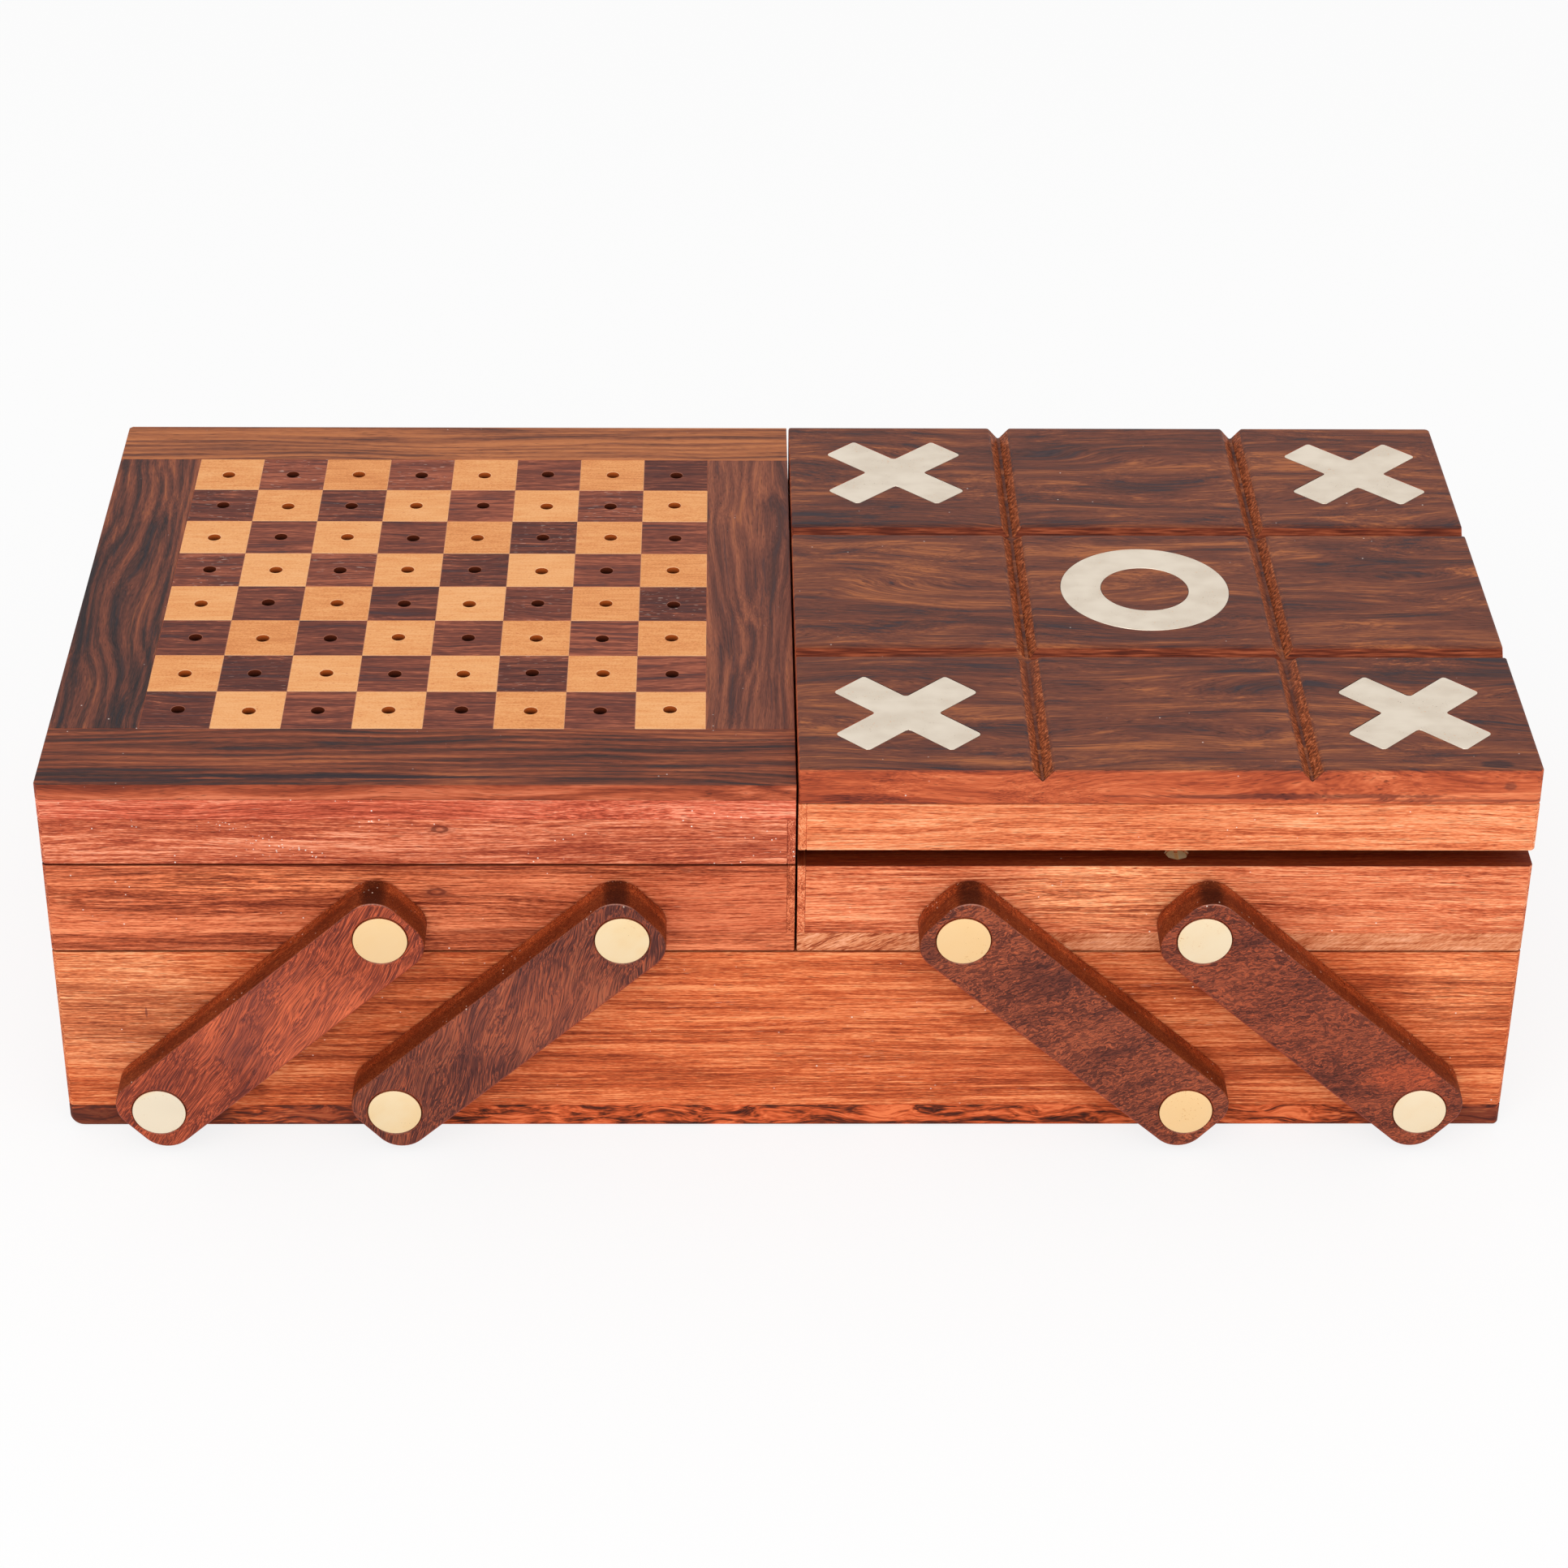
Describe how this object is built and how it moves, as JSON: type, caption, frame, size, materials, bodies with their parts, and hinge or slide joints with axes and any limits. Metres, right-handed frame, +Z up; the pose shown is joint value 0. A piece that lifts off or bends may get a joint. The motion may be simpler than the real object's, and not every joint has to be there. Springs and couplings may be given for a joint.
{
  "type": "games compendium box",
  "caption": "Wooden box with two lidded trays that swing out on paired arms; one lid is a peg chessboard and the other a noughts and crosses board.",
  "frame": {"origin": "middle of the base's underside", "axes": "+X along the front towards the noughts and crosses half, +Y to the back, +Z up"},
  "size_m": [0.254, 0.1442, 0.0752],
  "materials": {
    "red_wood": "lacquered orange-red rosewood",
    "dark_wood": "satin dark rosewood",
    "arm_wood": "satin reddish-brown rosewood",
    "pale_wood": "satin pale wood",
    "brass": "dull polished",
    "steel": "plated"
  },
  "bodies": {
    "base": {"base_front_wall": "red_wood", "base_back_wall": "red_wood", "base_left_wall": "red_wood", "base_right_wall": "red_wood", "base_bottom_board": "dark_wood", "base_pivot_pins": "brass"},
    "left_front_outer_arm": {"left_front_outer_arm": "arm_wood"},
    "left_front_inner_arm": {"left_front_inner_arm": "arm_wood"},
    "left_back_outer_arm": {"left_back_outer_arm": "arm_wood"},
    "left_back_inner_arm": {"left_back_inner_arm": "arm_wood"},
    "left_tray": {"left_tray_front_wall": "red_wood", "left_tray_back_wall": "red_wood", "left_tray_outer_wall": "red_wood", "left_tray_inner_wall": "red_wood", "left_tray_floor": "red_wood", "left_tray_pivot_pins": "brass", "left_tray_hinge_leaves": "brass", "left_hinge_pins": "brass", "left_catch_screw": "steel"},
    "left_lid": {"left_lid_front_wall": "red_wood", "left_lid_back_wall": "red_wood", "left_lid_outer_wall": "red_wood", "left_lid_inner_wall": "red_wood", "left_lid_hinge_leaves": "brass", "left_lid_magnet": "steel", "left_lid_backing_board": "red_wood", "chess_border_rails": "dark_wood", "chess_border_stiles": "dark_wood", "chess_light_squares": "pale_wood", "chess_dark_squares": "dark_wood"},
    "right_front_outer_arm": {"right_front_outer_arm": "arm_wood"},
    "right_front_inner_arm": {"right_front_inner_arm": "arm_wood"},
    "right_back_outer_arm": {"right_back_outer_arm": "arm_wood"},
    "right_back_inner_arm": {"right_back_inner_arm": "arm_wood"},
    "right_tray": {"right_tray_front_wall": "red_wood", "right_tray_back_wall": "red_wood", "right_tray_outer_wall": "red_wood", "right_tray_inner_wall": "red_wood", "right_tray_floor": "red_wood", "right_tray_pivot_pins": "brass", "right_tray_hinge_leaves": "brass", "right_hinge_pins": "brass", "right_catch_screw": "steel"},
    "right_lid": {"right_lid_front_wall": "red_wood", "right_lid_back_wall": "red_wood", "right_lid_outer_wall": "red_wood", "right_lid_inner_wall": "red_wood", "right_lid_hinge_leaves": "brass", "right_lid_magnet": "steel", "right_lid_plank": "dark_wood", "cross_inlays": "brass", "nought_inlay": "brass"}
  },
  "joints": [
    {"name": "left_swing", "type": "hinge", "parent": "base", "child": "left_front_outer_arm", "pos_m": [-0.10977, -0.0683, 0.0092], "axis": [0, -1, 0], "range_deg": [0, 95.4]},
    {"name": "left_front_inner_follow", "type": "hinge", "parent": "base", "child": "left_front_inner_arm", "pos_m": [-0.06867, -0.0683, 0.0092], "axis": [0, -1, 0], "range_deg": [0, 95.4]},
    {"name": "left_back_outer_follow", "type": "hinge", "parent": "base", "child": "left_back_outer_arm", "pos_m": [-0.10977, 0.0683, 0.0092], "axis": [0, -1, 0], "range_deg": [0, 95.4]},
    {"name": "left_back_inner_follow", "type": "hinge", "parent": "base", "child": "left_back_inner_arm", "pos_m": [-0.06867, 0.0683, 0.0092], "axis": [0, -1, 0], "range_deg": [0, 95.4]},
    {"name": "left_tray_level", "type": "hinge", "parent": "left_front_outer_arm", "child": "left_tray", "pos_m": [-0.06955, -0.0683, 0.0458], "axis": [0, -1, 0], "range_deg": [-95.4, 0]},
    {"name": "left_lid_hinge", "type": "hinge", "parent": "left_tray", "child": "left_lid", "pos_m": [-0.063, 0.0657, 0.0561], "axis": [-1, 0, 0], "range_deg": [0, 110]},
    {"name": "right_swing", "type": "hinge", "parent": "base", "child": "right_front_outer_arm", "pos_m": [0.11097, -0.0683, 0.0092], "axis": [0, 1, 0], "range_deg": [0, 95.4]},
    {"name": "right_front_inner_follow", "type": "hinge", "parent": "base", "child": "right_front_inner_arm", "pos_m": [0.06987, -0.0683, 0.0092], "axis": [0, 1, 0], "range_deg": [0, 95.4]},
    {"name": "right_back_outer_follow", "type": "hinge", "parent": "base", "child": "right_back_outer_arm", "pos_m": [0.11097, 0.0683, 0.0092], "axis": [0, 1, 0], "range_deg": [0, 95.4]},
    {"name": "right_back_inner_follow", "type": "hinge", "parent": "base", "child": "right_back_inner_arm", "pos_m": [0.06987, 0.0683, 0.0092], "axis": [0, 1, 0], "range_deg": [0, 95.4]},
    {"name": "right_tray_level", "type": "hinge", "parent": "right_front_outer_arm", "child": "right_tray", "pos_m": [0.07075, -0.0683, 0.0458], "axis": [0, 1, 0], "range_deg": [-95.4, 0]},
    {"name": "right_lid_hinge", "type": "hinge", "parent": "right_tray", "child": "right_lid", "pos_m": [0.0642, 0.0657, 0.0561], "axis": [-1, 0, 0], "range_deg": [-1.27, 108.73]}
  ],
  "couplings": [
    {"joint": "left_front_inner_follow", "follows": "left_swing", "ratio": 1},
    {"joint": "left_back_outer_follow", "follows": "left_swing", "ratio": 1},
    {"joint": "left_back_inner_follow", "follows": "left_swing", "ratio": 1},
    {"joint": "left_tray_level", "follows": "left_swing", "ratio": -1},
    {"joint": "right_front_inner_follow", "follows": "right_swing", "ratio": 1},
    {"joint": "right_back_outer_follow", "follows": "right_swing", "ratio": 1},
    {"joint": "right_back_inner_follow", "follows": "right_swing", "ratio": 1},
    {"joint": "right_tray_level", "follows": "right_swing", "ratio": -1}
  ]
}
